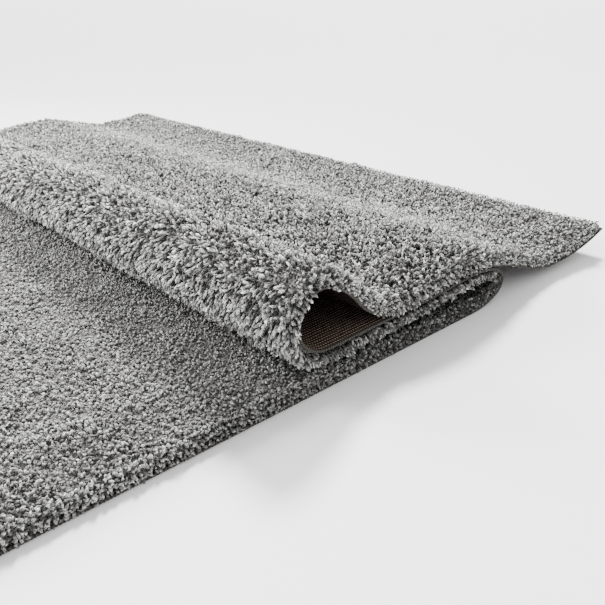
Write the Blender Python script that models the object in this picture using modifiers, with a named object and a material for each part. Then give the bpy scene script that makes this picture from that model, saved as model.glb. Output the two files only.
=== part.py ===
"""A shag rug, folded back on itself and forward again, as solids.

The rug runs along X, from the end that lies flat on the floor to the free end that
rises at +X. Its width is along Y, with the near long edge at -Y, and +Z is up. The
origin is under the middle of the folded rug, on the floor. Metres.
"""

import math

import bmesh
import bpy
import numpy as np
from mathutils import Vector, noise

# Driving sizes.
RUG_LENGTH = 2.30  # along the cloth, over both end edges
RUG_WIDTH = 1.60  # over both side edges
BACKING = 0.0025  # woven ground cloth
PILE = 0.023  # the tufts where nothing presses on them
EDGE_RADIUS = 0.002  # overlocked yarn edge
EDGE_LIFT = 0.0006  # how far the edge's middle stands off the backing's middle
GAP = 0.0004  # between pieces that are sewn together

# The pile's lumps, its rounded rim, and the locks drawn out of it.
LUMP_HEIGHT = 0.22  # share of the pile's height
LUMP_SIZE = 0.075
RIM_BOTTOM = 0.0036  # the rim tufts start above the yarn edge
RIM_HEIGHT = 0.78  # share of the pile's full height
RIM_ROUNDING = 0.014  # how far in from the rim the pile is at full height
LOCK_PITCH = 0.028
LOCK_LENGTH = 0.0095
LOCK_TIP = 0.45  # a lock's tip as a share of its root
LOCK_UNEVEN = 0.6  # share of a lock's length

# The mesh.
FLOOR_STEPS = 11  # faces along the flat run
COLUMN_PITCH = 0.085  # across the rug
EDGE_PITCH = 0.30  # between the points of an end edge

# One row for each turn of the fold, walked along the cloth from the floor to the free
# end. x and z are the middle of the backing, heading is the way the cloth runs there in
# degrees above +X, and pile is the height of the tufts, less where layers press on each
# other. The near and the far edge each have their own, and the cloth is ruled between
# them. steps is how many faces lie between a row and the next.
FLOOR = BACKING / 2
COLUMNS = (
    "turn", "near_x", "near_z", "near_heading", "near_pile",
    "far_x", "far_z", "far_heading", "far_pile", "steps",
)
FOLD = (
    ("in front of the roll", 0.405, FLOOR, 0, PILE, 0.375, FLOOR, 0, 0.022, 1),
    ("under the roll", 0.455, FLOOR, 0, 0.022, 0.432, FLOOR, 0, 0.0115, 5),
    ("lifts off the floor", 0.790, FLOOR, 0, 0.021, 0.815, FLOOR, 0, 0.0115, 5),
    ("right turn", 0.866, 0.034, 90, 0.015, 0.866, 0.019, 90, 0.010, 5),
    ("back over the floor run", 0.785, 0.069, 183, 0.021, 0.805, 0.0365, 180, 0.012, 4),
    ("lies on the floor run", 0.600, 0.060, 180, PILE, 0.600, 0.033, 180, 0.012, 3),
    ("foot of the roll", 0.480, 0.0575, 180, PILE, 0.455, 0.033, 180, 0.014, 5),
    ("front of the roll", 0.4345, 0.098, 90, PILE, 0.400, 0.064, 90, 0.022, 5),
    ("crest of the roll", 0.470, 0.141, 0, PILE, 0.452, 0.104, 0, PILE, 4),
    ("back of the roll", 0.534, 0.1005, -50, PILE, 0.522, 0.073, -42, PILE, 3),
    ("lies on the middle", 0.620, 0.0665, 4, PILE, 0.610, 0.0385, 4, PILE, 3),
    ("hump", 0.762, 0.0775, 0, PILE, 0.770, 0.0565, 0, PILE, 3),
    ("down from the hump", 0.912, 0.0445, -22, PILE, 0.875, 0.036, -17, PILE, 3),
    ("valley", 1.035, 0.0165, 0, PILE, 0.960, 0.020, 0, PILE, 4),
    ("rounds off to the end", 1.170, 0.0332, 16, PILE, 1.103, 0.037, 8, PILE, 1),
    ("free end", 1.196, 0.041, 17, 0.013, 1.129, 0.041, 8, 0.014, 0),
)

# Colours, as the photograph shows them.
PILE_GREY = (0.36, 0.35, 0.34)
BACKING_BROWN = (0.055, 0.038, 0.032)
EDGE_TAUPE = (0.23, 0.21, 0.19)

END_INSET = 2 * EDGE_RADIUS + GAP  # what an edge takes of the cloth on each side
HALF_BACKING = RUG_WIDTH / 2 - END_INSET
PILE_BOTTOM = BACKING / 2 + GAP
NEARLY_STRAIGHT = math.radians(10)  # below this turn, a bend's headings meet too far away
RIM_MARK = 1  # the material index that marks the rim's faces for a while


def clear_scene():
    for obj in list(bpy.data.objects):
        bpy.data.objects.remove(obj)


def material(name, colour, roughness):
    made = bpy.data.materials.new(name)
    made.use_nodes = True
    shader = made.node_tree.nodes["Principled BSDF"]
    shader.inputs["Base Color"].default_value = (*colour, 1.0)
    shader.inputs["Roughness"].default_value = roughness
    shader.inputs["Metallic"].default_value = 0.0
    return made


# The folded section


def rows_at(across):
    """The fold's rows part of the way from the near edge, 0, to the far edge, 1."""
    rows = []
    for values in FOLD:
        row = dict(zip(COLUMNS, values))
        blended = {
            key: (1 - across) * row["near_" + key] + across * row["far_" + key]
            for key in ("x", "z", "heading", "pile")
        }
        rows.append({**blended, "steps": row["steps"]})
    return rows


def direction(heading):
    return Vector((math.cos(math.radians(heading)), math.sin(math.radians(heading))))


def handle_reaches(chord, leaving, arriving, turn):
    """How far a bend's handles reach: as on an arc, a share of the way to where its headings meet."""
    if abs(turn) < NEARLY_STRAIGHT:
        return chord.length / 3, chord.length / 3
    share = 4 / 3 * math.tan(turn / 4) / math.tan(turn / 2)
    crossed = leaving.cross(arriving)
    return share * chord.cross(arriving) / crossed, share * leaving.cross(chord) / crossed


def bend(start, end, steps):
    """(place, way, pile) points from one row to the next, on the Bezier that keeps their headings."""
    a, b = Vector((start["x"], start["z"])), Vector((end["x"], end["z"]))
    leaving, arriving = direction(start["heading"]), direction(end["heading"])
    turn = math.radians(end["heading"] - start["heading"])
    reach_a, reach_b = handle_reaches(b - a, leaving, arriving, turn)
    c, d = a + leaving * reach_a, b - arriving * reach_b
    points = []
    for step in range(steps):
        t = step / steps
        s = 1 - t
        place = s**3 * a + 3 * s * s * t * c + 3 * s * t * t * d + t**3 * b
        way = s * s * (c - a) + 2 * s * t * (d - c) + t * t * (b - d)
        pile = s * start["pile"] + t * end["pile"]
        points.append((place, way.normalized(), pile))
    return points


def section(across):
    """The section's (place, way, pile) points: the flat run takes what the fold leaves of the length."""
    rows = rows_at(across)
    folded = []
    for start, end in zip(rows, rows[1:]):
        folded += bend(start, end, start["steps"])
    last = rows[-1]
    folded.append((Vector((last["x"], last["z"])), direction(last["heading"]), last["pile"]))
    length = sum((b[0] - a[0]).length for a, b in zip(folded, folded[1:]))
    run = RUG_LENGTH - 2 * END_INSET - length
    fold, way, pile = folded[0]
    flat = [
        (fold - way * run * (1 - step / FLOOR_STEPS), way, pile)
        for step in range(FLOOR_STEPS)
    ]
    return flat + folded


def share_across(y):
    return 0.5 + y / RUG_WIDTH


def lifted(point, y, height):
    """The place at that height above the backing's middle, on the tufted side."""
    place, way, _ = point
    up = Vector((-way.y, way.x))
    at = place + up * height
    return Vector((at.x, y, at.y))


# The pieces


def cloth_grid(ys):
    """A flat grid with a vertex for each station and column, and the two numbers of each vertex."""
    stations = len(section(0.5))
    mesh = bmesh.new()
    bmesh.ops.create_grid(
        mesh, x_segments=stations - 1, y_segments=len(ys) - 1, size=0.5
    )
    numbers = {
        vert: (
            round((vert.co.x + 0.5) * (stations - 1)),
            round((vert.co.y + 0.5) * (len(ys) - 1)),
        )
        for vert in mesh.verts
    }
    return mesh, numbers


def new_object(name, data, collection, finish):
    obj = bpy.data.objects.new(name, data)
    obj.data.materials.append(finish)
    collection.objects.link(obj)
    return obj


def build_backing(collection, finish):
    columns = round(RUG_WIDTH / (2 * COLUMN_PITCH)) + 1
    ys = np.linspace(-HALF_BACKING, HALF_BACKING, columns)
    sections = [section(share_across(y)) for y in ys]
    mesh, numbers = cloth_grid(ys)
    for vert, (i, j) in numbers.items():
        vert.co = lifted(sections[j][i], ys[j], 0)
    bmesh.ops.recalc_face_normals(mesh, faces=mesh.faces)
    data = bpy.data.meshes.new("backing")
    mesh.to_mesh(data)
    mesh.free()
    backing = new_object("backing", data, collection, finish)
    thickness = backing.modifiers.new("thickness", "SOLIDIFY")
    thickness.thickness = BACKING
    thickness.offset = 0


def pile_columns():
    """Even columns, with one more just inside each rim, where the pile comes to its full height."""
    inner = HALF_BACKING - RIM_ROUNDING
    even = np.linspace(-inner, inner, round(RUG_WIDTH / COLUMN_PITCH) + 1)
    return [-HALF_BACKING, *even, HALF_BACKING]


def lump(place):
    return 1 + LUMP_HEIGHT * noise.noise(place / LUMP_SIZE)


def build_pile(collection, finish):
    ys = pile_columns()
    sections = [section(share_across(y)) for y in ys]
    mesh, numbers = cloth_grid(ys)
    last_i, last_j = len(sections[0]) - 1, len(ys) - 1
    root_at = {tuple(vert.co): vert for vert in numbers}
    made = bmesh.ops.extrude_face_region(
        mesh, geom=list(mesh.faces), use_keep_orig=True
    )
    tips = [item for item in made["geom"] if isinstance(item, bmesh.types.BMVert)]
    root_of = {tip: root_at[tuple(tip.co)] for tip in tips}
    for tip, root in root_of.items():
        i, j = numbers[root]
        on_rim = i in (0, last_i) or j in (0, last_j)
        height = sections[j][i][2] * (RIM_HEIGHT if on_rim else 1)
        height *= lump(lifted(sections[j][i], ys[j], 0))
        bottom = RIM_BOTTOM if on_rim else PILE_BOTTOM
        tip.co = lifted(sections[j][i], ys[j], PILE_BOTTOM + height)
        root.co = lifted(sections[j][i], ys[j], bottom)
    bmesh.ops.recalc_face_normals(mesh, faces=mesh.faces)
    rim = [face for face in mesh.faces if 0 < sum(v in root_of for v in face.verts) < 4]
    crossing = {
        edge for face in rim for edge in face.edges if sum(v in root_of for v in edge.verts) == 1
    }
    split_rim(mesh, rim, crossing)
    draw_locks(mesh)
    data = bpy.data.meshes.new("pile")
    mesh.to_mesh(data)
    mesh.free()
    new_object("pile", data, collection, finish)


def split_rim(mesh, rim, crossing):
    """Cuts the rim's faces into lock roots of even width. Their material index marks them."""
    by_cuts = {}
    for face in rim:
        face.material_index = RIM_MARK
        along = [edge for edge in face.edges if edge not in crossing]
        width = sum(edge.calc_length() for edge in along) / len(along)
        cuts = max(1, round(width / LOCK_PITCH)) - 1
        if cuts:
            by_cuts.setdefault(cuts, []).extend(along)
    for cuts, edges in by_cuts.items():
        bmesh.ops.subdivide_edges(mesh, edges=edges, cuts=cuts, use_grid_fill=True)


def draw_locks(mesh):
    """Draws each lock root out to a blunt tip."""
    mesh.normal_update()
    roots = [face for face in mesh.faces if face.material_index == RIM_MARK]
    for tip in bmesh.ops.extrude_discrete_faces(mesh, faces=roots)["faces"]:
        middle = tip.calc_center_median()
        uneven = 1 + LOCK_UNEVEN * noise.noise(middle / LOCK_PITCH)
        reach = tip.normal * LOCK_LENGTH * uneven
        for vert in tip.verts:
            vert.co = middle + reach + (vert.co - middle) * LOCK_TIP
    for face in mesh.faces:
        face.material_index = 0


def side_edge(name, y, collection, finish):
    """The overlocked edge of a long side, a cord that follows the whole fold."""
    points = section(share_across(y))
    first, last = points[0], points[-1]
    before = (first[0] - first[1] * END_INSET, first[1], 0)
    after = (last[0] + last[1] * END_INSET, last[1], 0)
    path = [lifted(point, y, EDGE_LIFT) for point in [before, *points, after]]
    cord(name, path, collection, finish)


def end_edge(name, which, outward, collection, finish):
    """The overlocked edge of a short end, between the two side edges."""
    half = RUG_WIDTH / 2 - END_INSET
    path = []
    for y in np.linspace(-half, half, round(2 * half / EDGE_PITCH) + 1):
        place, way, _ = section(share_across(y))[which]
        beyond = place + way * outward * (GAP + EDGE_RADIUS)
        path.append(lifted((beyond, way, 0), y, EDGE_LIFT))
    cord(name, path, collection, finish)


def cord(name, path, collection, finish):
    curve = bpy.data.curves.new(name, "CURVE")
    curve.dimensions = "3D"
    curve.bevel_depth = EDGE_RADIUS
    curve.bevel_resolution = 1
    curve.use_fill_caps = True
    spline = curve.splines.new("POLY")
    spline.points.add(len(path) - 1)
    for point, place in zip(spline.points, path):
        point.co = (*place, 1)
    new_object(name, curve, collection, finish)


def stand_on_origin(collection):
    """Moves the rug sideways, so that the origin is under the middle of its outline."""
    graph = bpy.context.evaluated_depsgraph_get()
    corners = np.array(
        [corner for obj in collection.objects for corner in obj.evaluated_get(graph).bound_box]
    )
    middle = (corners.min(axis=0) + corners.max(axis=0)) / 2
    for obj in collection.objects:
        obj.location = (-middle[0], -middle[1], 0)


def build():
    clear_scene()
    collection = bpy.data.collections.new("shag_rug")
    bpy.context.scene.collection.children.link(collection)
    taupe = material("edge_yarn", EDGE_TAUPE, 0.9)
    build_backing(collection, material("backing", BACKING_BROWN, 0.9))
    build_pile(collection, material("pile", PILE_GREY, 1.0))
    side_edge("edge_near", EDGE_RADIUS - RUG_WIDTH / 2, collection, taupe)
    side_edge("edge_far", RUG_WIDTH / 2 - EDGE_RADIUS, collection, taupe)
    end_edge("edge_floor_end", 0, -1, collection, taupe)
    end_edge("edge_free_end", -1, 1, collection, taupe)
    stand_on_origin(collection)


build()
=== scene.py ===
# %% [markdown]
# # A shag rug, folded back on itself and forward again
#
# The rug lies folded once back and once forward, with a hollow roll at the left of the
# fold and a free end that rises in a wave. The solids of the imported model hold the whole
# fold. Here each of them gets its finished piece: a woven backing, a mat of short wool
# with thousands of separate tufts standing in it, and the overlocked yarn round the rim.
#
# A rug could be modelled flat and then bent, or thrown by a cloth solver. Here the fold is
# drawn once as a curve, because it has to lie exactly where the solids lie.
#
# The first cell opens the imported solids.

import math

import bmesh
import bpy
import numpy as np
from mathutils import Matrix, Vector, noise


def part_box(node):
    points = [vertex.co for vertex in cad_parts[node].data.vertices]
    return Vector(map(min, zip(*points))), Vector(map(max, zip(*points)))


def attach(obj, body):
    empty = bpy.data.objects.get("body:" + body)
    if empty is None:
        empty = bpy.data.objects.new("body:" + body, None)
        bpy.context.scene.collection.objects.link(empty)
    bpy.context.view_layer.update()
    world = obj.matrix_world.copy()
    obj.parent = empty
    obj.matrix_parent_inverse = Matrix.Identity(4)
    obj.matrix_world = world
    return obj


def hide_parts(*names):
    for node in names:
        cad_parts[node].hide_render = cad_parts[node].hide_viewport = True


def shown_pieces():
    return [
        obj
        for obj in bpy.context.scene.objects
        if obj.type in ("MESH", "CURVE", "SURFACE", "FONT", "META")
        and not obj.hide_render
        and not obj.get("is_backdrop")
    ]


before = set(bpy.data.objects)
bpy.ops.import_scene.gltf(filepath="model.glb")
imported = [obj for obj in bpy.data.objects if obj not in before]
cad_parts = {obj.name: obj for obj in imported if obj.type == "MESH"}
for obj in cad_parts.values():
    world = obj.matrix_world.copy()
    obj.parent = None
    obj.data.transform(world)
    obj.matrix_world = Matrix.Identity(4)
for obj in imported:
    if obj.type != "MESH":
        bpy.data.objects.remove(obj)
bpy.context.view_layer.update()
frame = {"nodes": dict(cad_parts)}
print("nodes:", ", ".join(frame["nodes"]))

# %% [markdown]
# ## The sizes that drive everything
#
# A maker would order this rug by its length, width and pile. The other sizes are those of
# its ground cloth and its overlocked edge. All of them are in metres.

# %% Sizes of the rug
RUG_LENGTH = 2.30  # along the cloth, over both end edges
RUG_WIDTH = 1.60  # over both side edges
BACKING = 0.0025  # woven ground cloth
PILE = 0.023  # the tufts where nothing presses on them
EDGE_RADIUS = 0.002  # overlocked yarn edge
EDGE_LIFT = 0.0006  # how far the edge's middle stands off the backing's middle
GAP = 0.0004  # between pieces that are sewn together

END_INSET = 2 * EDGE_RADIUS + GAP  # what an edge takes of the cloth on each side
HALF_BACKING = RUG_WIDTH / 2 - END_INSET
PILE_BOTTOM = BACKING / 2 + GAP
print(f"backing {2 * HALF_BACKING:.4f} m wide, pile from {PILE_BOTTOM * 1000:.2f} mm up")

# %% [markdown]
# ## The fold, as a table
#
# A fold is easiest to describe where it turns. Each row gives the middle of the backing
# at the near and at the far edge, the way that the cloth runs there in degrees, and how
# high the pile stands, which is less where layers press on each other. A smooth curve
# through the rows gives the section, and the cloth between the two edges is ruled
# straight across. The same rows shape the solids, so that both agree.

# %% The rows of the fold
FLOOR = BACKING / 2
COLUMNS = (
    "turn", "near_x", "near_z", "near_heading", "near_pile",
    "far_x", "far_z", "far_heading", "far_pile", "steps",
)
FOLD = (
    ("in front of the roll", 0.405, FLOOR, 0, PILE, 0.375, FLOOR, 0, 0.022, 1),
    ("under the roll", 0.455, FLOOR, 0, 0.022, 0.432, FLOOR, 0, 0.0115, 5),
    ("lifts off the floor", 0.790, FLOOR, 0, 0.021, 0.815, FLOOR, 0, 0.0115, 5),
    ("right turn", 0.866, 0.034, 90, 0.015, 0.866, 0.019, 90, 0.010, 5),
    ("back over the floor run", 0.785, 0.069, 183, 0.021, 0.805, 0.0365, 180, 0.012, 4),
    ("lies on the floor run", 0.600, 0.060, 180, PILE, 0.600, 0.033, 180, 0.012, 3),
    ("foot of the roll", 0.480, 0.0575, 180, PILE, 0.455, 0.033, 180, 0.014, 5),
    ("front of the roll", 0.4345, 0.098, 90, PILE, 0.400, 0.064, 90, 0.022, 5),
    ("crest of the roll", 0.470, 0.141, 0, PILE, 0.452, 0.104, 0, PILE, 4),
    ("back of the roll", 0.534, 0.1005, -50, PILE, 0.522, 0.073, -42, PILE, 3),
    ("lies on the middle", 0.620, 0.0665, 4, PILE, 0.610, 0.0385, 4, PILE, 3),
    ("hump", 0.762, 0.0775, 0, PILE, 0.770, 0.0565, 0, PILE, 3),
    ("down from the hump", 0.912, 0.0445, -22, PILE, 0.875, 0.036, -17, PILE, 3),
    ("valley", 1.035, 0.0165, 0, PILE, 0.960, 0.020, 0, PILE, 4),
    ("rounds off to the end", 1.170, 0.0332, 16, PILE, 1.103, 0.037, 8, PILE, 1),
    ("free end", 1.196, 0.041, 17, 0.013, 1.129, 0.041, 8, 0.014, 0),
)
FLOOR_STEPS = 11  # steps along the flat run
FINER = 2  # times as many steps here as in the solids
NEARLY_STRAIGHT = math.radians(10)  # below this turn, a bend's headings meet too far away
TURNS = [row[0] for row in FOLD]
print(f"{len(FOLD)} rows, from '{TURNS[0]}' to '{TURNS[-1]}'")


# %% [markdown]
# ## From rows to a smooth section
#
# Between two rows the cloth follows a Bezier curve whose handles point along the
# headings. How far the handles reach decides how round the bend is, and for an arc it is
# a known share of the way to where the two headings meet. The flat run at the start
# takes whatever length the fold leaves, because the cloth can't stretch.

# %% The section at any place across the rug
X, Z, WAY_X, WAY_Z, HEIGHT, ALONG, STATION = range(7)  # the columns of a section


def rows_at(across):
    """The fold's rows part of the way from the near edge, 0, to the far edge, 1."""
    rows = []
    for values in FOLD:
        row = dict(zip(COLUMNS, values))
        x, z, heading, pile = (
            (1 - across) * row["near_" + key] + across * row["far_" + key]
            for key in ("x", "z", "heading", "pile")
        )
        place = np.array([x, z])
        rows.append({"place": place, "heading": heading, "pile": pile, "steps": row["steps"]})
    return rows


def direction(heading):
    return np.array([math.cos(math.radians(heading)), math.sin(math.radians(heading))])


def crossed(a, b):
    return a[0] * b[1] - a[1] * b[0]


def handle_reaches(chord, leaving, arriving, turn):
    """How far a bend's handles reach: a share of the way to where its headings meet."""
    if abs(turn) < NEARLY_STRAIGHT:
        return (math.hypot(*chord) / 3,) * 2
    share = 4 / 3 * math.tan(turn / 4) / math.tan(turn / 2)
    sine = crossed(leaving, arriving)
    return share * crossed(chord, arriving) / sine, share * crossed(leaving, chord) / sine


def bend(start, end):
    """Points from one row to the next: x, z, the way of the cloth and the pile's height."""
    a, b = start["place"], end["place"]
    leaving, arriving = direction(start["heading"]), direction(end["heading"])
    turn = math.radians(end["heading"] - start["heading"])
    reach_a, reach_b = handle_reaches(b - a, leaving, arriving, turn)
    c, d = a + leaving * reach_a, b - arriving * reach_b
    steps = start["steps"] * FINER
    t = np.arange(steps)[:, None] / steps
    s = 1 - t
    place = s**3 * a + 3 * s * s * t * c + 3 * s * t * t * d + t**3 * b
    way = s * s * (c - a) + 2 * s * t * (d - c) + t * t * (b - d)
    way /= np.linalg.norm(way, axis=1, keepdims=True)
    return np.hstack([place, way, s * start["pile"] + t * end["pile"]])


def section(y, shift=0.0):
    """The whole section at y, a row for each station, with the columns named above."""
    rows = rows_at(0.5 + y / RUG_WIDTH)
    last = np.hstack([rows[-1]["place"], direction(rows[-1]["heading"]), rows[-1]["pile"]])
    folded = np.vstack([bend(a, b) for a, b in zip(rows, rows[1:])] + [last])
    steps = np.linalg.norm(np.diff(folded[:, :2], axis=0), axis=1)
    run = RUG_LENGTH - 2 * END_INSET - steps.sum()
    flat = np.repeat(folded[:1], FLOOR_STEPS * FINER, axis=0)
    flat[:, X] -= run * (1 - np.arange(len(flat)) / len(flat))
    whole = np.vstack([flat, folded])
    steps = np.linalg.norm(np.diff(whole[:, :2], axis=0), axis=1)
    whole[:, X] -= shift
    along = np.concatenate([[0], np.cumsum(steps)])
    return np.column_stack([whole, along, np.arange(len(whole))])


def walk(line, along):
    """A section's columns at these lengths along the cloth."""
    return np.column_stack([np.interp(along, line[:, ALONG], column) for column in line.T])


STATIONS = len(section(0))
END_ALONG = section(0)[-1, ALONG]
print(f"{STATIONS} stations along {END_ALONG:.4f} m of backing")

# %% [markdown]
# ## Where the rug stands
#
# The rows count X from below the camera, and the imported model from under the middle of
# the rug. The tip of the free end at the near edge is in both, so it gives the shift.

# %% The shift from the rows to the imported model
near_line = section(-HALF_BACKING)
free_tip = near_line[-1, X] + near_line[-1, WAY_Z] * BACKING / 2
SHIFT = free_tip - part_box("backing")[1][0]
ROW_STATION = {
    turn: FINER * (FLOOR_STEPS + sum(row[-1] for row in FOLD[:number]))
    for number, turn in enumerate(TURNS)
}
print(f"the rows lie {SHIFT:.4f} m to the right of the model")

# %% [markdown]
# ## Camera, floor and light
#
# The photograph was taken from low down in front of the near edge, looking across the rug
# and to the right. Its vanishing points give the lens and the tilt, and the rug's width
# gives the height. The floor is a plain pale sheet, so large that its end isn't in the
# picture.

# %% Camera
CAMERA_HEIGHT = 0.457
CAMERA_BACK = 1.0756  # in front of the near edge, in camera heights
CAMERA_DOWN = 26.0936  # degrees below level
CAMERA_RIGHT = 41.67  # degrees to the right of straight across the rug
CAMERA_LENS = 38.575  # mm, on a sensor 36 mm wide
CAMERA_NEAR = 0.01  # what is nearer than this isn't drawn

camera = bpy.data.objects.new("camera", bpy.data.cameras.new("camera"))
camera.data.lens = CAMERA_LENS
camera.data.clip_start = CAMERA_NEAR
camera.location = (-SHIFT, -RUG_WIDTH / 2 - CAMERA_BACK * CAMERA_HEIGHT, CAMERA_HEIGHT)
camera.rotation_euler = (math.radians(90 - CAMERA_DOWN), 0, math.radians(-CAMERA_RIGHT))
bpy.context.scene.collection.objects.link(camera)
bpy.context.scene.camera = camera
print("camera at", [round(value, 4) for value in camera.location])


# %% [markdown]
# ## Helpers for materials
#
# Every finish here is a Principled shader with a few nodes in front of it. A few small
# functions keep the cells short. One adds a node and sets its inputs. Another starts a
# material, and sets what is the same all over the surface on the shader's own sockets.
# The others make a colour ramp, multiply two colours, and feed the shader its colour and
# its bump.

# %% Helpers for materials
def add_node(material, kind, links=(), **settings):
    """Adds a node. links is [(input, source)], where a source that is a plain value is set."""
    node = material.node_tree.nodes.new("ShaderNode" + kind)
    for key, value in settings.items():
        setattr(node, key, value)
    for socket, source in links:
        if isinstance(source, bpy.types.NodeSocket):
            material.node_tree.links.new(source, node.inputs[socket])
        else:
            node.inputs[socket].default_value = source
    return node


def new_material(name, **fixed):
    material = bpy.data.materials.new(name)
    material.use_nodes = True
    shader = material.node_tree.nodes["Principled BSDF"]
    for socket, value in fixed.items():
        shader.inputs[socket.replace("_", " ")].default_value = value
    return material, shader


def ramp(material, source, *stops):
    """A colour ramp with a stop for each (position, grey or colour)."""
    node = add_node(material, "ValToRGB", [("Fac", source)])
    stops_of = node.color_ramp.elements
    while len(stops_of) < len(stops):
        stops_of.new(0.5)
    for stop, (position, colour) in zip(stops_of, stops):
        stop.position = position
        stop.color = (*(colour if isinstance(colour, tuple) else (colour,) * 3), 1)
    return node.outputs["Color"]


def multiply(material, one, other):
    """One colour times the other. An RGBA Mix node has its colours in sockets 6 and 7."""
    links = [("Factor", 1.0), (6, one), (7, other)]
    node = add_node(material, "Mix", links, data_type="RGBA", blend_type="MULTIPLY")
    return node.outputs[2]


def colour_by(material, shader, colour):
    material.node_tree.links.new(colour, shader.inputs["Base Color"])
    print(f"{material.name}: {len(material.node_tree.nodes)} nodes")


def roughen(material, shader, height, strength, distance):
    """A bump of this height, which makes the surface look rough in close light."""
    bump = add_node(
        material, "Bump", [("Height", height), ("Strength", strength), ("Distance", distance)]
    )
    material.node_tree.links.new(bump.outputs["Normal"], shader.inputs["Normal"])


print("helpers for materials are ready")

# %% [markdown]
# The floor is one large grid of faces, in a pale paint with hardly any cloud in it. It is
# marked as stage, so it isn't part of the rug.

# %% Floor
FLOOR_SIDE = 80.0
FLOOR_DROP = 0.0004  # keeps the floor just under the ribs of the backing

floor_paint, shader = new_material("pale floor", Roughness=0.9)
cloudy = add_node(floor_paint, "TexNoise", [("Scale", 3.0)])
pale = ramp(floor_paint, cloudy.outputs["Fac"], (0, 0.9), (1, 0.93))
colour_by(floor_paint, shader, pale)
mesh = bmesh.new()
bmesh.ops.create_grid(mesh, x_segments=2, y_segments=2, size=FLOOR_SIDE / 2)
bmesh.ops.translate(mesh, verts=mesh.verts, vec=(0, 0, -FLOOR_DROP))
data = bpy.data.meshes.new("studio_floor")
mesh.to_mesh(data)
mesh.free()
data.materials.append(floor_paint)
studio_floor = bpy.data.objects.new("studio_floor", data)
bpy.context.scene.collection.objects.link(studio_floor)
studio_floor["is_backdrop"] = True
print("floor of", FLOOR_SIDE, "m")

# %% [markdown]
# The light is that of a bright studio. A large soft window behind the rug, on the right,
# makes the roll shade the floor run in front of it. That shade is broad but not deep, so
# two soft boxes stand on the left, one far and high and one low. They light the front of
# the roll. The surroundings are plain white.

# %% Light
WINDOW_ELEVATION = 40  # degrees
WINDOW_TURN = 130  # degrees about the vertical
WINDOW_STRENGTH = 11.5
WINDOW_SOFTNESS = 11  # degrees that the lamp takes of the sky
SOFT_BOXES = (  # name, place and power in watts
    ("far_soft_box", (-1.0, 1.0, 1.0), 88),
    ("low_soft_box", (-1.6, 0.2, 0.45), 22),
)
SOFT_BOX_SIDE = 0.8
SURROUNDINGS = 1.35


def add_lamp(name, kind, energy, turn):
    lamp = bpy.data.objects.new(name, bpy.data.lights.new(name, kind))
    lamp.data.energy = energy
    lamp.rotation_euler = turn
    bpy.context.scene.collection.objects.link(lamp)
    return lamp


world = bpy.data.worlds.new("bright surroundings")
bpy.context.scene.world = world
world.use_nodes = True
background = world.node_tree.nodes["Background"]
background.inputs["Color"].default_value = (1, 1, 1, 1)
background.inputs["Strength"].default_value = SURROUNDINGS
window_turn = (math.radians(90 - WINDOW_ELEVATION), 0, math.radians(WINDOW_TURN))
window = add_lamp("window", "SUN", WINDOW_STRENGTH, window_turn)
window.data.angle = math.radians(WINDOW_SOFTNESS)
for name, place, power in SOFT_BOXES:
    towards_rug = Vector(place).to_track_quat("Z", "Y").to_euler()
    soft_box = add_lamp(name, "AREA", power, towards_rug)
    soft_box.location = place
    soft_box.data.size = SOFT_BOX_SIDE
    soft_box.visible_camera = False
print("a window,", len(SOFT_BOXES), "soft boxes and bright surroundings")


# %% [markdown]
# ## The cloth as a grid
#
# The cloth could be swept as a curve, but its two edges don't have the same section. So
# each layer of the rug starts as a flat grid with a vertex for each station along the
# cloth and each column across it. A table of numbers tells which vertex is which, so
# that the grid can be laid on the fold at any height above the backing. Its map of the
# flat cloth, in metres, stays with it for the weave.

# %% Grids laid on the fold
def cloth_grid(ys):
    """A flat grid with a vertex for each station and column, and each vertex's two numbers."""
    mesh = bmesh.new()
    bmesh.ops.create_grid(mesh, x_segments=STATIONS - 1, y_segments=len(ys) - 1, size=0.5)
    numbers = {}
    for vert in mesh.verts:
        i = round((vert.co.x + 0.5) * (STATIONS - 1))
        j = round((vert.co.y + 0.5) * (len(ys) - 1))
        numbers[vert] = i, j
    return mesh, numbers


def lifted(point, y, height):
    """The place at that height above the backing's middle, on the tufted side."""
    return Vector((point[X] - point[WAY_Z] * height, y, point[Z] + point[WAY_X] * height))


def map_flat(mesh, numbers, sections, ys):
    """Writes the flat cloth's metres to a map: along the rug and across it."""
    layer = mesh.loops.layers.uv.new("cloth")
    for face in mesh.faces:
        for loop in face.loops:
            i, j = numbers[loop.vert]
            loop[layer].uv = (sections[j][i, ALONG], ys[j])


def finish_piece(name, mesh, material, slot, *nodes):
    """Makes a smooth piece of a bmesh."""
    data = bpy.data.meshes.new(name)
    mesh.to_mesh(data)
    mesh.free()
    data.shade_smooth()
    data.materials.append(material)
    return dress(name, data, slot, *nodes)


def dress(name, data, slot, *nodes):
    """Makes the object, which rides on the rug and takes the place of the named solids."""
    piece = bpy.data.objects.new(name, data)
    bpy.context.scene.collection.objects.link(piece)
    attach(piece, "root")
    if nodes:
        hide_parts(*nodes)
    return piece


print("grids have", STATIONS, "stations along the cloth")

# %% [markdown]
# ## The woven backing
#
# The backing is a stiff brown ground cloth, seen inside the roll and on the underside.
# Its ribs run along the rug, 5.6 mm apart, and cross threads cut them into beads. Real
# threads would take millions of faces. So the ribs are real waves of the cloth near both
# edges only, where one can look into the fold. The rest, and the cross threads, are bump
# and colour from the flat map. The roof of the roll is darker than its floor, because it
# lies in shade, so the colour is painted darker towards the crest and past it: a painted shade.

# %% Backing material
RIB_PITCH = 0.0056
THREAD_PITCH = 0.0041
# Painted shade on the roof of the roll: the colour is painted darker from here to there along the
# rug, and stays so.
ROOF_SHADE_FROM = -0.06  # along the rug from the crest of the roll
ROOF_SHADE_TO = 0.03
ROOF_SHADE_LEFT = 0.12  # the share of the colour that is left

weave, shader = new_material("brown woven backing", Roughness=1.0, Specular_IOR_Level=0.0)
flat_map = add_node(weave, "UVMap", uv_map="cloth").outputs["UV"]
parts = add_node(weave, "SeparateXYZ", [("Vector", flat_map)])


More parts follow.
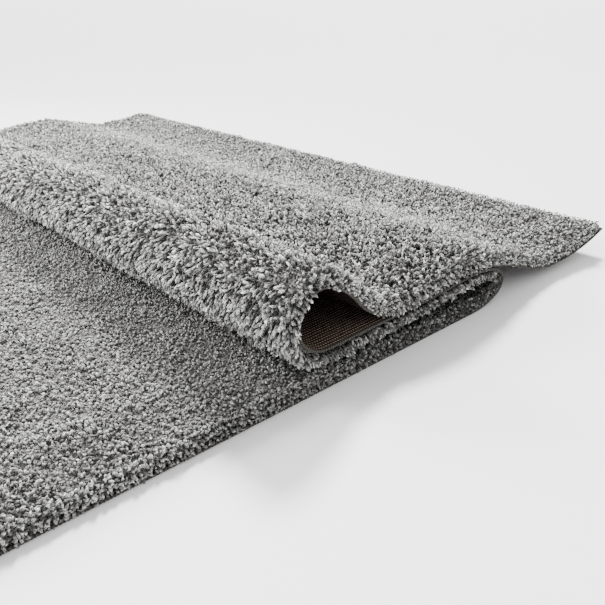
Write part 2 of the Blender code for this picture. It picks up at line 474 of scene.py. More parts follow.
def wave(material, source, pitch):
    """A sine of the source with this pitch, from 0 to 1."""
    links = [(0, source), (1, 2 * math.pi / pitch)]
    turns = add_node(material, "Math", links, operation="MULTIPLY").outputs[0]
    sine = add_node(material, "Math", [(0, turns)], operation="SINE").outputs[0]
    links = [(0, sine), (1, 0.5), (2, 0.5)]
    return add_node(material, "Math", links, operation="MULTIPLY_ADD").outputs[0]


ribs = wave(weave, parts.outputs["Y"], RIB_PITCH)
threads = wave(weave, parts.outputs["X"], THREAD_PITCH)
both = add_node(weave, "Math", [(0, ribs), (1, threads)], operation="MULTIPLY").outputs[0]
slubs = add_node(weave, "TexNoise", [("Vector", flat_map), ("Scale", 180.0), ("Detail", 3.0)])
links = [(0, slubs.outputs["Fac"]), (1, 0.4), (2, both)]
height = add_node(weave, "Math", links, operation="MULTIPLY_ADD").outputs[0]
woven = ramp(
    weave, height,
    (0.2, (0.008, 0.006, 0.005)), (0.6, (0.095, 0.071, 0.057)), (1, (0.30, 0.228, 0.185)),
)
# Painted shade: the backing's colour darkens past the crest, where the roof of the roll lies in
# shade.
crest = section(-HALF_BACKING)[ROW_STATION["crest of the roll"], ALONG]
links = [("From Min", crest + ROOF_SHADE_FROM), ("From Max", crest + ROOF_SHADE_TO)]
into_roof_shade = add_node(weave, "MapRange", [("Value", parts.outputs["X"]), *links]).outputs["Result"]
painted_roof_shade = ramp(weave, into_roof_shade, (0, 1), (1, ROOF_SHADE_LEFT))
colour_by(weave, shader, multiply(weave, woven, painted_roof_shade))
roughen(weave, shader, height, 0.6, 0.0012)
print(f"weave: {RIB_PITCH * 1000:.1f} by {THREAD_PITCH * 1000:.1f} mm")

# %% [markdown]
# The backing is one grid, with close columns near both edges, where its ribs are real
# waves that crest on the woven side. Solidify gives it its thickness.

# %% Backing piece
RIB_ZONE = 0.09  # in from each edge, with ribs as real waves
RIB_COLUMNS = 4  # columns for each rib
RIB_HEIGHT = 0.0003
RIB_MARGIN = 0.004  # the outermost strip stays flat under the overlocked edge
MIDDLE_COLUMNS = 13

rib_step = RIB_PITCH / RIB_COLUMNS
side_columns = np.arange(HALF_BACKING - RIB_ZONE, HALF_BACKING, rib_step)
middle_columns = np.linspace(-side_columns[0], side_columns[0], MIDDLE_COLUMNS + 2)[1:-1]
ys = np.concatenate([-side_columns[::-1], middle_columns, side_columns])
ys[0], ys[-1] = -HALF_BACKING, HALF_BACKING
sections = [section(y, SHIFT) for y in ys]
mesh, numbers = cloth_grid(ys)
for vert, (i, j) in numbers.items():
    inside = HALF_BACKING - abs(ys[j])
    depth = RIB_HEIGHT if RIB_MARGIN < inside < RIB_ZONE else 0
    wave_here = math.sin(2 * math.pi * ys[j] / RIB_PITCH)
    vert.co = lifted(sections[j][i], ys[j], -depth * wave_here)
bmesh.ops.recalc_face_normals(mesh, faces=mesh.faces)
map_flat(mesh, numbers, sections, ys)
backing = finish_piece("woven_backing", mesh, weave, "backing", "backing")
thickness = backing.modifiers.new("thickness", "SOLIDIFY")
thickness.thickness = BACKING
thickness.offset = 0
print("backing:", len(backing.data.polygons), "faces on each side")

# %% [markdown]
# ## How the pile lies
#
# The pile isn't the same all over. On the floor run it is trodden to short crumbs. On the
# roll it hangs, so that its ends lie over each other, and on top it is in between. It is
# painted darker between the layers and in the roll's shade, a painted shade, and paler
# where the light falls, a painted light, and cropped short at the free end. A second table says
# so,
# with a row for each place where that changes:
#
# - mat: how high the crowded wool stands, as a share of the pile
# - loose: how much each tuft leans its own way
# - bunched: how strongly tufts lean together in bunches
# - combed: how much they lie back towards the floor end
# - droop: how much they hang where the cloth is steep
# - width: from a tuft's middle line to a corner
# - overhang: how far tufts may reach out over the rim of the backing
# - hang: how much the rim's tufts fall past the edge
# - tone: from 0, dark yarn, to 1, pale yarn, with painted shade and painted light in it
# - mixed: how much the tone changes from tuft to tuft

# %% The pile's manner along the cloth
MANNER = (
    "mat", "loose", "bunched", "combed", "droop", "width", "overhang", "hang", "tone", "mixed"
)
# Painted shade and light in the tone column: low in the roll's shade, in the turn and between the
# layers, high at the floor end and behind the crest.
MANNERS = (
    ("floor end", 0.68, 0.85, 0.10, 0.10, 0.1, 0.0019, 0.0062, 0.4, 0.66, 0.20),
    ("in front of the roll", 0.86, 1.00, 0.05, 0.10, 0.1, 0.0019, 0.0062, 0.4, 0.41, 0.08),
    ("under the roll", 0.84, 0.85, 0.05, 0.10, 0.2, 0.0020, 0.0062, 0.4, 0.36, 0.08),
    ("lifts off the floor", 0.58, 0.60, 0.20, 0.00, 0.3, 0.0021, 0.0060, 0.3, 0.17, 0.14),
    ("right turn", 0.45, 0.50, 0.20, 0.00, 0.4, 0.0021, 0.0055, 0.3, 0.07, 0.10),
    ("back over the floor run", 0.45, 0.70, 0.40, 0.00, 0.4, 0.0023, 0.0080, 0.3, 0.38, 0.20),
    ("lies on the floor run", 0.50, 0.70, 0.40, 0.00, 0.5, 0.0022, 0.0095, 0.3, 0.30, 0.18),
    ("foot of the roll", 0.56, 0.70, 0.35, 0.20, 0.7, 0.0022, 0.0110, 0.2, 0.34, 0.22),
    ("front of the roll", 0.48, 0.60, 0.40, 0.35, 0.8, 0.0021, 0.0125, 0.2, 0.58, 0.25),
    ("crest of the roll", 0.56, 0.65, 0.30, 0.65, 0.6, 0.0021, 0.0125, 0.2, 0.53, 0.24),
    ("back of the roll", 0.60, 0.85, 0.15, 0.30, 0.4, 0.0020, 0.0020, 0.1, 0.65, 0.23),
    ("lies on the middle", 0.48, 0.85, 0.35, 0.10, 0.3, 0.0020, 0.0120, 1.1, 0.45, 0.24),
    ("hump", 0.50, 0.85, 0.30, 0.20, 0.3, 0.0020, 0.0100, 0.9, 0.40, 0.24),
    ("down from the hump", 0.54, 0.85, 0.20, 0.10, 0.3, 0.0020, 0.0045, 0.3, 0.52, 0.23),
    ("rounds off to the end", 0.76, 0.40, 0.15, 0.00, 0.3, 0.0020, 0.0035, 0.3, 0.50, 0.23),
    ("free end", 0.92, 0.15, 0.05, 0.00, 0.3, 0.0017, 0.0005, 0.5, 0.48, 0.18),
)


def manner(what, station):
    """The pile's manner at these stations. The floor end is the first station."""
    places = [ROW_STATION.get(row[0], 0) for row in MANNERS]
    return np.interp(station, places, [row[1 + MANNER.index(what)] for row in MANNERS])


print("crowded wool at the floor end:", manner("mat", 0), "of the pile")

# %% [markdown]
# ## The mat under the tufts
#
# Between the tufts one sees down into crowded wool, where dark gaps and lit crumbs are
# mixed. Separate tufts down there would take many times as many faces. So one mat is that
# wool: its material is a strong noise of both, with a deep bump. Its dark spots are
# painted shade, standing for the shade in the gaps.

# %% Mat material
wool_depth, shader = new_material("deep wool", Roughness=1.0, Specular_IOR_Level=0.1)
place = add_node(wool_depth, "TexCoord").outputs["Object"]
links = [("Vector", place), ("Scale", 330.0), ("Detail", 3.0), ("Roughness", 0.65)]
crumbs = add_node(wool_depth, "TexNoise", links).outputs["Fac"]
# Painted shade: the dark end of this ramp stands for the shade in the gaps between tufts.
painted_gap_shade_and_crumbs = ramp(
    wool_depth, crumbs, (0.42, (0.02, 0.0195, 0.018)), (0.62, (0.34, 0.335, 0.325))
)
colour_by(wool_depth, shader, painted_gap_shade_and_crumbs)
roughen(wool_depth, shader, crumbs, 1.0, 0.006)

# %% [markdown]
# The mat is a closed slab on the backing, from half as high as the pile to nearly as high,
# lumpy as the solid is, and rounded at its rim. It is a flat grid, extruded, with both
# layers then laid on the fold. Extrude makes the walls in another order each run, so the
# faces are sorted.

# %% Mat piece
LUMP_HEIGHT = 0.22  # share of the pile's height
LUMP_SIZE = 0.075
MAT_INSET = 0.0015  # in from the side of the backing
MAT_ROUNDING = 0.012  # how far in the mat comes to its full height
MAT_RIM = 0.5  # the rim's share of that height
MAT_COLUMNS = 61


def lump(point, y):
    """How much higher the pile stands here than its even height, as on the solid."""
    return 1 + LUMP_HEIGHT * noise.noise(Vector((point[X] + SHIFT, y, point[Z])) / LUMP_SIZE)


rim = HALF_BACKING - MAT_INSET
inner = rim - MAT_ROUNDING
ys = [-rim, *np.linspace(-inner, inner, MAT_COLUMNS), rim]
sections = [section(y, SHIFT) for y in ys]
mesh, numbers = cloth_grid(ys)
last_i, last_j = STATIONS - 1, len(ys) - 1
root_at = {tuple(vert.co): vert for vert in numbers}
made = bmesh.ops.extrude_face_region(mesh, geom=list(mesh.faces), use_keep_orig=True)
for tip in [item for item in made["geom"] if isinstance(item, bmesh.types.BMVert)]:
    root = root_at[tuple(tip.co)]
    i, j = numbers[root]
    on_rim = i in (0, last_i) or j in (0, last_j)
    point = sections[j][i]
    share = manner("mat", i) * (MAT_RIM if on_rim else 1)
    height = share * point[HEIGHT] * lump(point, ys[j])
    tip.co = lifted(point, ys[j], PILE_BOTTOM + height)
    root.co = lifted(point, ys[j], PILE_BOTTOM)
mesh.verts.index_update()
by_corners = sorted(mesh.faces, key=lambda face: sorted(vert.index for vert in face.verts))
for number, face in enumerate(by_corners):
    face.index = number
mesh.faces.sort()
bmesh.ops.recalc_face_normals(mesh, faces=mesh.faces)
mat = finish_piece("wool_mat", mesh, wool_depth, "pile", "pile")
print("mat:", len(mat.data.polygons), "faces")

# %% [markdown]
# ## Tufts
#
# A tuft is a short end of thick yarn whose fibres have burst open, so it is narrow at
# the root, fullest near the top and rounded off. Modelling each alone would never end.
# So a few are drawn out of a triangle with extrude, each bent in its own way, and then
# repeated over the fold. Three sides are enough at this size, and keep them light.

# %% How a tuft is drawn out
SIDES = 3
CLOSING = 0.1  # width of a ring that is about to be closed to a point


def place_ring(verts, height, width, bend_out):
    """Moves a ring of vertices to this height, with this width, bent out by this much."""
    middle = sum((vert.co for vert in verts), Vector()) / len(verts)
    for vert in verts:
        vert.co = Vector((bend_out, 0, height)) + (vert.co - middle).normalized() * width


def draw_out(mesh, face, *ring):
    """Extrudes the face to a new ring, and returns the face there in place of the old one."""
    made = bmesh.ops.extrude_face_region(mesh, geom=[face], use_keep_orig=True)["geom"]
    place_ring([item for item in made if isinstance(item, bmesh.types.BMVert)], *ring)
    return next(item for item in made if isinstance(item, bmesh.types.BMFace))


def close_to_point(mesh, face, height, bend_out):
    bmesh.ops.pointmerge(mesh, verts=list(face.verts), merge_co=(bend_out, 0, height))


def draw_tuft(*rings):
    """A tuft through these rings (height, width, bend), from a point at 0 to its tip."""
    *rings, (tip_height, tip_bend) = rings
    mesh = bmesh.new()
    bmesh.ops.create_circle(mesh, cap_ends=True, segments=SIDES, radius=1)
    first = mesh.faces[:][0]
    place_ring(first.verts, *rings[0])
    face = first
    for ring in rings[1:]:
        above = draw_out(mesh, face, *ring)
        if face is not first:
            bmesh.ops.delete(mesh, geom=[face], context="FACES_ONLY")
        face = above
    above = draw_out(mesh, face, tip_height, CLOSING, tip_bend)
    if face is not first:
        bmesh.ops.delete(mesh, geom=[face], context="FACES_ONLY")
    close_to_point(mesh, above, tip_height, tip_bend)
    below = draw_out(mesh, first, 0, CLOSING, 0)
    bmesh.ops.delete(mesh, geom=[first], context="FACES_ONLY")
    close_to_point(mesh, below, 0, 0)
    bmesh.ops.recalc_face_normals(mesh, faces=mesh.faces)
    bmesh.ops.triangulate(mesh, faces=mesh.faces)
    mesh.verts.index_update()
    points = np.array([vert.co for vert in mesh.verts])
    faces = np.array([[vert.index for vert in face.verts] for face in mesh.faces])
    mesh.free()
    return points, faces


print("tufts have", SIDES, "sides")

# %% [markdown]
# Most tufts are short and have one ring. Those of the rim hang free, so they are longer
# and curl, which takes two rings. The numbers of a ring are its height, its width and how
# far it is bent out, and the last two are those of the tip.

# %% A few tufts to repeat
PLAIN_TUFTS = [
    draw_tuft((0.80, 1.0, 0.2), (1.0, 0.7)),
    draw_tuft((0.74, 1.1, 0.6), (0.94, 1.6)),
    draw_tuft((0.84, 1.15, -0.2), (1.0, 0.4)),
    draw_tuft((0.78, 0.95, 0.0), (0.98, -1.0)),
]
CURLY_TUFTS = [
    draw_tuft((0.45, 0.8, 0.5), (0.84, 1.05, 0.1), (1.0, 0.9)),
    draw_tuft((0.5, 0.8, -0.5), (0.84, 1.1, 0.6), (0.96, 1.7)),
]
print("faces of each tuft:", [len(faces) for _, faces in PLAIN_TUFTS + CURLY_TUFTS])


# %% [markdown]
# ## Planting the tufts
#
# The tufts stand in rows, as a tufting machine sets them, but none stands quite in line.
# Wear combs them into bunches, longer across the rug than along it, because the cloth
# bends that way. Each tuft leans towards the middle of its own bunch and a little its own
# way. So the floor of the pile shows as dark gaps between light bunches. Deep between two
# layers nothing is seen, so tufts stand only near the sides there.

# %% Where the tufts stand
SEED = 7
TUFT_PITCH = 0.0047
OUT_OF_LINE = 0.4  # of the pitch, at most
ROW_MARGIN = 0.004  # from the near side of the backing to the first row
FAR_MARGIN = 0.003  # the same from the far side and from the floor end
BUNCH_PITCH = np.array([0.011, 0.018])  # along and across
BUNCH_LEAN = 0.22  # how much each bunch leans its own way
HIDDEN_RIM = 0.11  # how far in from a side the tufts between two layers are still seen
PAST_UNDER = 0.03  # the layers close this far past the row "under the roll"
BEFORE_FOOT = 0.02  # and open this far before the row "foot of the roll"

rng = np.random.default_rng(SEED)
bunch_cells = tuple((np.array([RUG_LENGTH, RUG_WIDTH]) / BUNCH_PITCH).astype(int) + 4)
bunch_place = rng.uniform(0.1, 0.9, (*bunch_cells, 2))  # in its own cell
bunch_lean = rng.normal(0, BUNCH_LEAN, (*bunch_cells, 2))
bunch_tone = rng.normal(0, 1, bunch_cells)


def jitter(count, pitch):
    return rng.uniform(-OUT_OF_LINE, OUT_OF_LINE, count) * pitch


def nearest_bunch(along, y):
    """How far the nearest bunch's middle is away along and across, and its cell."""
    at = np.stack([along, y + RUG_WIDTH / 2], axis=1) / BUNCH_PITCH + 1
    cell = at.astype(int)
    best = np.full(len(at), np.inf)
    away = np.zeros((len(at), 2))
    found = cell.copy()
    for step in [(i, j) for i in (-1, 0, 1) for j in (-1, 0, 1)]:
        other = np.clip(cell + step, 0, np.array(bunch_cells) - 1)
        gap = other + bunch_place[other[:, 0], other[:, 1]] - at
        far = (gap**2).sum(axis=1)
        closer = far < best
        best[closer], away[closer], found[closer] = far[closer], gap[closer], other[closer]
    return away * BUNCH_PITCH, found


def plant_rows():
    """Roots all over the tufted side: a section's columns, and y."""
    rows = []
    ys = np.arange(-HALF_BACKING + ROW_MARGIN, HALF_BACKING - FAR_MARGIN, TUFT_PITCH)
    for number, y in enumerate(ys):
        line = section(y, SHIFT)
        first = FAR_MARGIN + TUFT_PITCH / 2 * (number % 2)
        along = np.arange(first, line[-1, ALONG], TUFT_PITCH)
        along += jitter(len(along), TUFT_PITCH)
        closed = line[ROW_STATION["under the roll"], ALONG] + PAST_UNDER
        opened = line[ROW_STATION["foot of the roll"], ALONG] - BEFORE_FOOT
        if abs(y) < HALF_BACKING - HIDDEN_RIM:
            along = along[(along < closed) | (along > opened)]
        across = y + jitter(len(along), TUFT_PITCH)
        rows.append(np.column_stack([walk(line, along), across]))
    return np.vstack(rows)


roots = plant_rows()
print(len(roots), "tufts stand where they can be seen")


# %% [markdown]
# ## From roots to one mesh
#
# Each tuft is turned so that its own up points the way it leans, spun by chance about
# that line, stretched to its length and width, and put on its root. Instances could do
# this, but then no region would be one mesh. So numpy does it for all of them at once.
# Two numbers go along with every point for the colours: how far up the tuft it is, which
# sets its painted root shade and tip highlight, and the tone of its yarn, with painted
# shade and light in it.

# %% Repeat tufts over many roots
LEAST_Z = 0.0003  # what would reach into the floor lies on it


def unit(vectors):
    return vectors / np.linalg.norm(vectors, axis=1, keepdims=True)


def grow(name, kinds, at, lean, length, width, tone, material):
    """One joined mesh of tufts at these places, with these leans, lengths and widths."""
    count = len(at)
    up = unit(lean)
    aside = unit(np.cross(up, unit(rng.normal(size=(count, 3)))))
    third = np.cross(up, aside)
    kind = rng.integers(len(kinds), size=count)
    points, faces, tips, tones_and_shade, first = [], [], [], [], 0
    for number, (shape, shape_faces) in enumerate(kinds):
        mine = kind == number
        local = (
            shape[None, :, 0:1] * aside[mine, None] * width[mine, None, None]
            + shape[None, :, 1:2] * third[mine, None] * width[mine, None, None]
            + shape[None, :, 2:3] * up[mine, None] * length[mine, None, None]
        )
        made = local + at[mine, None]
        made[..., 2] = np.maximum(made[..., 2], LEAST_Z)
        each = len(shape)
        starts = first + np.arange(mine.sum()) * each
        points.append(made.reshape(-1, 3))
        faces.append((shape_faces[None] + starts[:, None, None]).reshape(-1, 3))
        tips.append(np.tile(shape[:, 2], mine.sum()))
        tones_and_shade.append(np.repeat(tone[mine], each))
        first += mine.sum() * each
    data = bpy.data.meshes.new(name)
    data.from_pydata(np.vstack(points), [], np.vstack(faces))
    for attribute, values in (("up_the_tuft", tips), ("yarn_tone_and_shade", tones_and_shade)):
        layer = data.attributes.new(attribute, "FLOAT", "POINT")
        layer.data.foreach_set("value", np.concatenate(values).astype(np.float32))
    data.shade_smooth()
    data.materials.append(material)
    piece = dress(name, data, "pile")
    print(f"{name}: {count} tufts, {len(data.polygons)} faces")
    return piece


# %% [markdown]
# ## The yarn's colours
#
# The yarn is spun from pale and darker grey wool together. Its burst tips are painted
# paler, a painted highlight, and it is painted darker towards the root, a painted shade.
# Fine noise gives the mixed fibres, and a bump
# of the same noise makes their ends rough.

# %% Yarn material
yarn, shader = new_material(
    "mixed grey yarn",
    Roughness=0.9, Specular_IOR_Level=0.25, Sheen_Weight=0.15, Sheen_Roughness=0.6,
)
up_the_tuft = add_node(yarn, "Attribute", attribute_name="up_the_tuft").outputs["Fac"]
yarn_tone_and_shade = add_node(yarn, "Attribute", attribute_name="yarn_tone_and_shade").outputs["Fac"]
place = add_node(yarn, "TexCoord").outputs["Object"]
links = [("Vector", place), ("Scale", 420.0), ("Detail", 4.0)]
fibres = add_node(yarn, "TexNoise", links).outputs["Fac"]
# Painted shade at the root and painted highlight at the tip.
painted_root_shade_and_tip_light = ramp(yarn, up_the_tuft, (0.0, 0.12), (0.5, 0.42), (0.8, 0.95), (1.0, 1.25))
# The tone carries painted shade and light as well as the yarn's own tone.
toned_and_shaded = ramp(
    yarn, yarn_tone_and_shade,
    (0.0, (0.04, 0.039, 0.036)), (0.2, (0.16, 0.158, 0.15)),
    (0.5, (0.38, 0.378, 0.368)), (1.0, (0.86, 0.857, 0.842)),
)
mixed = ramp(yarn, fibres, (0.38, 0.22), (0.62, 1.65))
colour_by(yarn, shader, multiply(yarn, multiply(yarn, toned_and_shaded, painted_root_shade_and_tip_light), mixed))
roughen(yarn, shader, fibres, 1.0, 0.003)

# %% [markdown]
# A tuft stands across the cloth, leans with its bunch and a little its own way, falls
# outwards near a side or an end, and hangs where the cloth is steep. Its root is sunk in
# the mat, and it is cut so that none reaches further over the rim than the table lets it.

# %% How each tuft stands
ROOT_SUNK = 0.002
LEAST_RISE = 0.004  # from its root
BUNCH_HIGHER = 0.06  # how much higher light bunches stand than others
UNEVEN = 0.04  # how much the height changes from tuft to tuft
LEAST_UPRIGHT = 0.6  # keeps tufts that lie down from getting too long
WIDTHS = (0.75, 1.25)  # the narrowest and the widest, times the table's width
SPLAY = 0.8
SPLAY_REACH = 0.012  # how far in from a side or an end the tufts start to fall outwards
EDGE_FULLER = 0.15  # how much wider tufts are along the sides
FULLER_REACH = 0.03
BUNCH_TONE = 0.05
# Painted shade: how much darker the tufts are painted near the sides.
SIDE_PAINTED_SHADE = 0.2
EDGE_MIXED = 0.3  # how much more mixed the tones are along the sides
TONE_REACH = 0.08


def trim(length, outward_share, room):
    """Lengths cut so that a tuft that leans outwards by this share stays within its room."""
    reach = np.maximum(length * outward_share, 1e-6)
    return length * np.minimum(1, room / reach)


def raise_tufts(roots):
    """Places, leans, lengths, widths and tones, with painted shade and light, of tufts on these
    roots.
    """
    x, z, way_x, way_z, pile, along, station, y = roots.T
    normal = np.column_stack([-way_z, 0 * y, way_x])
    way = np.column_stack([way_x, 0 * y, way_z])
    lumps = np.array([lump(root, root[-1]) for root in roots])
    away, cell = nearest_bunch(along, y)
    tone = bunch_tone[cell[:, 0], cell[:, 1]]
    high = 1 + BUNCH_HIGHER * tone + rng.normal(0, UNEVEN, len(roots))
    top = PILE_BOTTOM + pile * lumps * high
    low = PILE_BOTTOM + pile * lumps * manner("mat", station) - ROOT_SUNK
    rise = np.maximum(top - low, LEAST_RISE)
    own = rng.normal(0, 1, (len(roots), 2)) * manner("loose", station)[:, None]
    pull = manner("bunched", station)[:, None] * away / rise[:, None]
    side = pull + bunch_lean[cell[:, 0], cell[:, 1]] + own
    from_side = HALF_BACKING - np.abs(y)
    to_end = END_ALONG - along
    by_ends = SPLAY * (np.exp(-to_end / SPLAY_REACH) - np.exp(-along / SPLAY_REACH))
    along_way = side[:, 0] + by_ends - manner("combed", station)
    lean = normal + along_way[:, None] * way
    lean[:, 1] += side[:, 1] + np.sign(y) * SPLAY * np.exp(-from_side / SPLAY_REACH)
    lean[:, 2] -= manner("droop", station) * np.abs(way_z)
    lean = unit(lean)
    length = rise / np.maximum((lean * normal).sum(axis=1), LEAST_UPRIGHT)
    over = manner("overhang", station)
    outwards = (lean * way).sum(axis=1)
    length = trim(length, lean[:, 1] * np.sign(y), from_side + over)
    length = trim(trim(length, outwards, to_end + over), -outwards, along + over)
    width = manner("width", station) * rng.uniform(*WIDTHS, len(roots))
    width *= 1 + EDGE_FULLER * np.exp(-from_side / FULLER_REACH)
    at = np.column_stack([x, y, z]) + normal * low[:, None]
    # Painted shade and light: the table's tone, with the tufts near the sides painted darker.
    by_side = np.exp(-from_side / TONE_REACH)
    tones_and_shade = manner("tone", station) + BUNCH_TONE * tone - SIDE_PAINTED_SHADE * by_side
    tones_and_shade += rng.normal(0, 1, len(roots)) * manner("mixed", station) * (1 + EDGE_MIXED * by_side)
    return at, lean, length, width, np.clip(tones_and_shade, 0, 1)


print(f"tufts rise at least {LEAST_RISE * 1000:.0f} mm from their roots")

# %% [markdown]
# One mesh of all the tufts would be slow to handle, so they are grown in six regions: two
# on the floor run, one between the layers, one on the roll and two on top.

# %% Tufts over the whole rug
along = roots[:, ALONG]
near = roots[:, -1] < 0
middle_line = section(0, SHIFT)
under = middle_line[ROW_STATION["under the roll"], ALONG] + PAST_UNDER
foot = middle_line[ROW_STATION["foot of the roll"], ALONG] - BEFORE_FOOT
back = middle_line[ROW_STATION["back of the roll"], ALONG]
regions = {
    "floor_tufts_near": (along < under) & near,
    "floor_tufts_far": (along < under) & ~near,
    "inner_tufts": (along >= under) & (along < foot),
    "roll_tufts": (along >= foot) & (along < back),
    "top_tufts_near": (along >= back) & near,
    "top_tufts_far": (along >= back) & ~near,
}
tufts = [
    grow(name, PLAIN_TUFTS, *raise_tufts(roots[chosen]), yarn) for name, chosen in regions.items()
]
print(len(tufts), "regions, with", sum(chosen.sum() for chosen in regions.values()), "tufts")

# %% [markdown]
# ## The tufts of the rim
#
# Along the rim nothing holds the tufts upright, so they fall outwards over the yarn
# edge. Each side gets a few rows of them, from flat out at the backing to nearly upright
# at the top. On the floor they end in line with the edge, and on the roll they hang over
# its mouth.

# %% How the rim's tufts stand
RIM_PITCH = 0.0034
RIM_LEVELS = 5
RIM_LENGTH = 0.0125
RIM_WIDTH = 0.0021
RIM_INSET = 0.006  # in from the side of the backing
RIM_ROOT = 0.002  # above the bottom of the pile
RIM_TOP = 0.5  # how far up the pile the rows go, as a share
RIM_CUT = 0.001  # what a tuft loses where it may not hang out
RIM_LOOSE = 0.28
RIM_SPREAD = (0.75, 1.2)  # of lengths and widths, from least to most
RIM_ROOM = 0.8  # the least share of its overhang that a tuft is let out
RIM_SHADE = 0.2  # how much darker the lowest tufts are
# What changes from row to row, at the backing and at the top:
ROW_INSET = (0.6, 1.0)  # of the rim's inset
ROW_OUTWARD = (1.1, 0.1)  # how much they point away from the rug
ROW_UPRIGHT = (0.12, 1.32)  # how much they stand up from the cloth
ROW_LENGTH = (1.1, 0.6)  # of the rim's length


def between(ends, share):
    """From the first of two ends, at share 0, to the second, at 1."""
    return ends[0] + (ends[1] - ends[0]) * share


def rim_tufts(line, y, outward):
    """Tufts along this line of a section's columns. outward points away from the rug."""
    found = []
    count = len(line)
    normal = np.column_stack([-line[:, WAY_Z], np.zeros(count), line[:, WAY_X]])
    overhang = manner("overhang", line[:, STATION])
    droop = manner("droop", line[:, STATION]) * np.abs(line[:, WAY_Z])
    droop += manner("hang", line[:, STATION])
    for level in range(RIM_LEVELS):
        share = (level + 0.5) / RIM_LEVELS
        low = PILE_BOTTOM + RIM_ROOT + share * line[:, HEIGHT] * RIM_TOP
        inset = RIM_INSET * between(ROW_INSET, share)
        at = np.column_stack([line[:, X], y, line[:, Z]]) + normal * low[:, None]
        at -= outward * inset
        lean = outward * between(ROW_OUTWARD, share) + normal * between(ROW_UPRIGHT, share)
        lean += rng.normal(0, RIM_LOOSE, (count, 3))
        lean[:, 2] -= droop
        lean = unit(lean)
        length = RIM_LENGTH * rng.uniform(*RIM_SPREAD, count)
        length *= np.minimum(1, line[:, HEIGHT] / PILE) * between(ROW_LENGTH, share)
        length += overhang / 2 - RIM_CUT
        room = inset + overhang * rng.uniform(RIM_ROOM, 1, count)
        length = trim(length, (lean * outward).sum(axis=1), room)
        width = RIM_WIDTH * rng.uniform(*RIM_SPREAD, count)
        # Painted shade: the table's tone, with the low rows painted darker under the rows above
        # them.
        tone = manner("tone", line[:, STATION]) - RIM_SHADE * (1 - share)
        tone += rng.normal(0, 1, count) * manner("mixed", line[:, STATION])
        found.append((at, lean, length, width, np.clip(tone, 0, 1)))
    return [np.concatenate(values) for values in zip(*found)]


print(RIM_LEVELS, "rows of tufts at the rim")

# %% [markdown]
# The sides follow a section of the rug, and the ends take one station of it at every
# place across. The near side is the one that is looked at closely, so its tufts curl.

# %% Rim tufts
def side_rim(y, sign):
    """The tufts of a side. sign is 1 where away from the rug is +Y."""
    line = section(y, SHIFT)
    along = np.arange(0, line[-1, ALONG], RIM_PITCH)
    along += jitter(len(along), RIM_PITCH)
    outward = np.tile([0.0, sign, 0.0], (len(along), 1))
    return rim_tufts(walk(line, along), np.full(len(along), y), outward)


def end_rim(station, sign):
    """The tufts of an end. sign is 1 where away from the rug is the way of the cloth."""
    ys = np.arange(-HALF_BACKING + ROW_MARGIN, HALF_BACKING - ROW_MARGIN, RIM_PITCH)
    ys += jitter(len(ys), RIM_PITCH)
    line = np.array([section(y, SHIFT)[station] for y in ys])
    outward = sign * np.column_stack([line[:, WAY_X], np.zeros(len(ys)), line[:, WAY_Z]])
    return rim_tufts(line, ys, outward)


rims = (
    ("rim_tufts_near", CURLY_TUFTS, side_rim(-HALF_BACKING, -1)),
    ("rim_tufts_far", PLAIN_TUFTS, side_rim(HALF_BACKING, 1)),
    ("rim_tufts_floor_end", PLAIN_TUFTS, end_rim(0, -1)),
    ("rim_tufts_free_end", PLAIN_TUFTS, end_rim(-1, 1)),
)
tufts += [grow(name, kinds, *made, yarn) for name, kinds, made in rims]
print(len(rims), "rims, with", sum(len(made[0]) for _, _, made in rims), "tufts")

# %% [markdown]
# ## The overlocked edge
#
# All round the rug a machine has wound taupe yarn over the backing's edge, in slanted
# turns 4 mm apart. Each turn could be a thread of its own, with many times the faces. A
# tube with a ridge that winds round it looks the same from here, and the ridge's height
# also goes to the colour, which is darker between the turns.

# %% Edge material
STITCH_PITCH = 0.004
edge_yarn, shader = new_material("taupe overlock yarn", Roughness=0.85, Specular_IOR_Level=0.25)
place = add_node(edge_yarn, "TexCoord").outputs["Object"]
links = [("Vector", place), ("Scale", 900.0), ("Detail", 3.0)]
strands = add_node(edge_yarn, "TexNoise", links).outputs["Fac"]
ridge = add_node(edge_yarn, "Attribute", attribute_name="ridge").outputs["Fac"]
shade = ramp(edge_yarn, ridge, (0.0, 0.2), (0.6, 0.8), (1.0, 1.25))
wool = ramp(edge_yarn, strands, (0.3, (0.027, 0.025, 0.021)), (0.7, (0.075, 0.070, 0.060)))
colour_by(edge_yarn, shader, multiply(edge_yarn, wool, shade))
roughen(edge_yarn, shader, strands, 0.5, 0.0006)

# %% [markdown]
# The tube starts as a flat grid. It is rolled round the edge's line, its seam is merged
# and its two ends are filled.

# %% How an edge is rolled
CORD_SIDES = 6
RINGS_PER_STITCH = 4
CORD_RADII = (EDGE_RADIUS - 0.0004, EDGE_RADIUS + 0.0002)  # between the turns, and on them
EDGE_WIDE = 1.1  # times as wide across as thick
SEAM = 1e-5  # points nearer than this are one


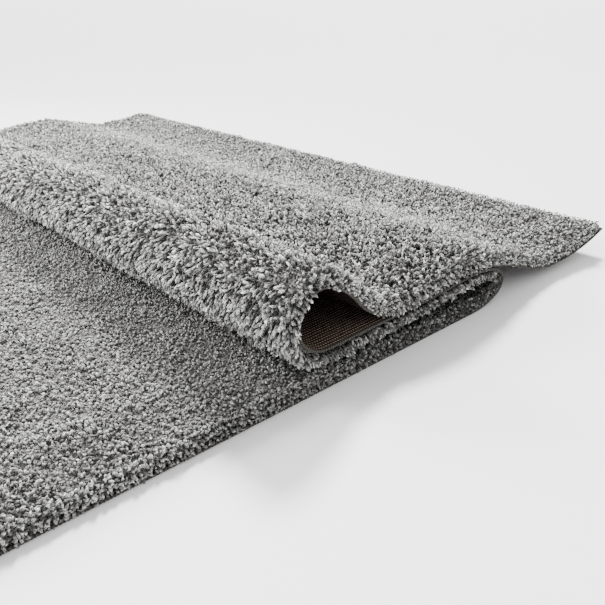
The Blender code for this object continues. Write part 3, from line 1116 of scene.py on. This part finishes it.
def roll_cord(name, line, ys, aside, node):
    """A tube with wound stitches along this line of a section's columns, wide along aside."""
    rings = len(line)
    mesh = bmesh.new()
    bmesh.ops.create_grid(mesh, x_segments=rings - 1, y_segments=CORD_SIDES, size=0.5)
    ridge = mesh.verts.layers.float.new("ridge")
    for vert in mesh.verts:
        i = round((vert.co.x + 0.5) * (rings - 1))
        turn = (vert.co.y + 0.5) * 2 * math.pi
        wound = 0.5 + 0.5 * math.cos(turn - 2 * math.pi * i / RINGS_PER_STITCH)
        vert[ridge] = wound
        radius = between(CORD_RADII, wound)
        point = line[i]
        up = radius * math.sin(turn)
        out = radius * EDGE_WIDE * math.cos(turn)
        vert.co = lifted(point, ys[i], EDGE_LIFT + up) + Vector(aside[i]) * out
    bmesh.ops.remove_doubles(mesh, verts=mesh.verts, dist=SEAM)
    bmesh.ops.holes_fill(mesh, edges=mesh.edges, sides=0)
    bmesh.ops.recalc_face_normals(mesh, faces=mesh.faces)
    piece = finish_piece(name, mesh, edge_yarn, "edge_yarn", node)
    print(name, len(piece.data.polygons), "faces")
    return piece


print("a tube has", CORD_SIDES, "sides and", RINGS_PER_STITCH, "rings for each turn")

# %% [markdown]
# The edge's line comes from the same section as the backing, at the side's own place
# across, and runs a little past both ends. The end edges take one station of the section
# at every place across.

# %% Edge pieces
def side_cord(name, sign, node):
    """The edge along a side. sign is 1 where away from the rug is +Y."""
    y = sign * (RUG_WIDTH / 2 - EDGE_RADIUS)
    line = section(y, SHIFT)
    step = STITCH_PITCH / RINGS_PER_STITCH
    along = np.arange(-END_INSET, line[-1, ALONG] + END_INSET, step)
    made = walk(line, along)
    before, after = along < 0, along > line[-1, ALONG]
    made[before, X] += along[before]
    beyond = along[after] - line[-1, ALONG]
    made[after, X] += beyond * line[-1, WAY_X]
    made[after, Z] += beyond * line[-1, WAY_Z]
    aside = np.tile([0.0, sign, 0.0], (len(made), 1))
    return roll_cord(name, made, np.full(len(made), y), aside, node)


def end_cord(name, station, sign, node):
    """The edge across an end. sign is 1 where away from the rug is the way of the cloth."""
    ys = np.arange(-HALF_BACKING, HALF_BACKING, STITCH_PITCH / RINGS_PER_STITCH)
    line = np.array([section(y, SHIFT)[station] for y in ys])
    aside = sign * np.column_stack([line[:, WAY_X], np.zeros(len(ys)), line[:, WAY_Z]])
    line[:, X] += aside[:, 0] * (GAP + EDGE_RADIUS)
    line[:, Z] += aside[:, 2] * (GAP + EDGE_RADIUS)
    return roll_cord(name, line, ys, aside, node)


edges = [
    side_cord("overlock_near", -1, "edge_near"),
    side_cord("overlock_far", 1, "edge_far"),
    end_cord("overlock_floor_end", 0, -1, "edge_floor_end"),
    end_cord("overlock_free_end", -1, 1, "edge_free_end"),
]
print(len(edges), "overlocked edges")

# %% [markdown]
#
# The backing is the sheet of cloth that was cut, woven 1.6 m wide and 2.3 m long, and
# the other pieces are on it. The last cell counts the triangles of every piece shown.

# %% Count the triangles
graph = bpy.context.evaluated_depsgraph_get()
faces = {}
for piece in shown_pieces():
    made = piece.evaluated_get(graph).to_mesh()
    made.calc_loop_triangles()
    faces[piece.name] = len(made.loop_triangles)
print("triangles:", faces, "in all", sum(faces.values()))
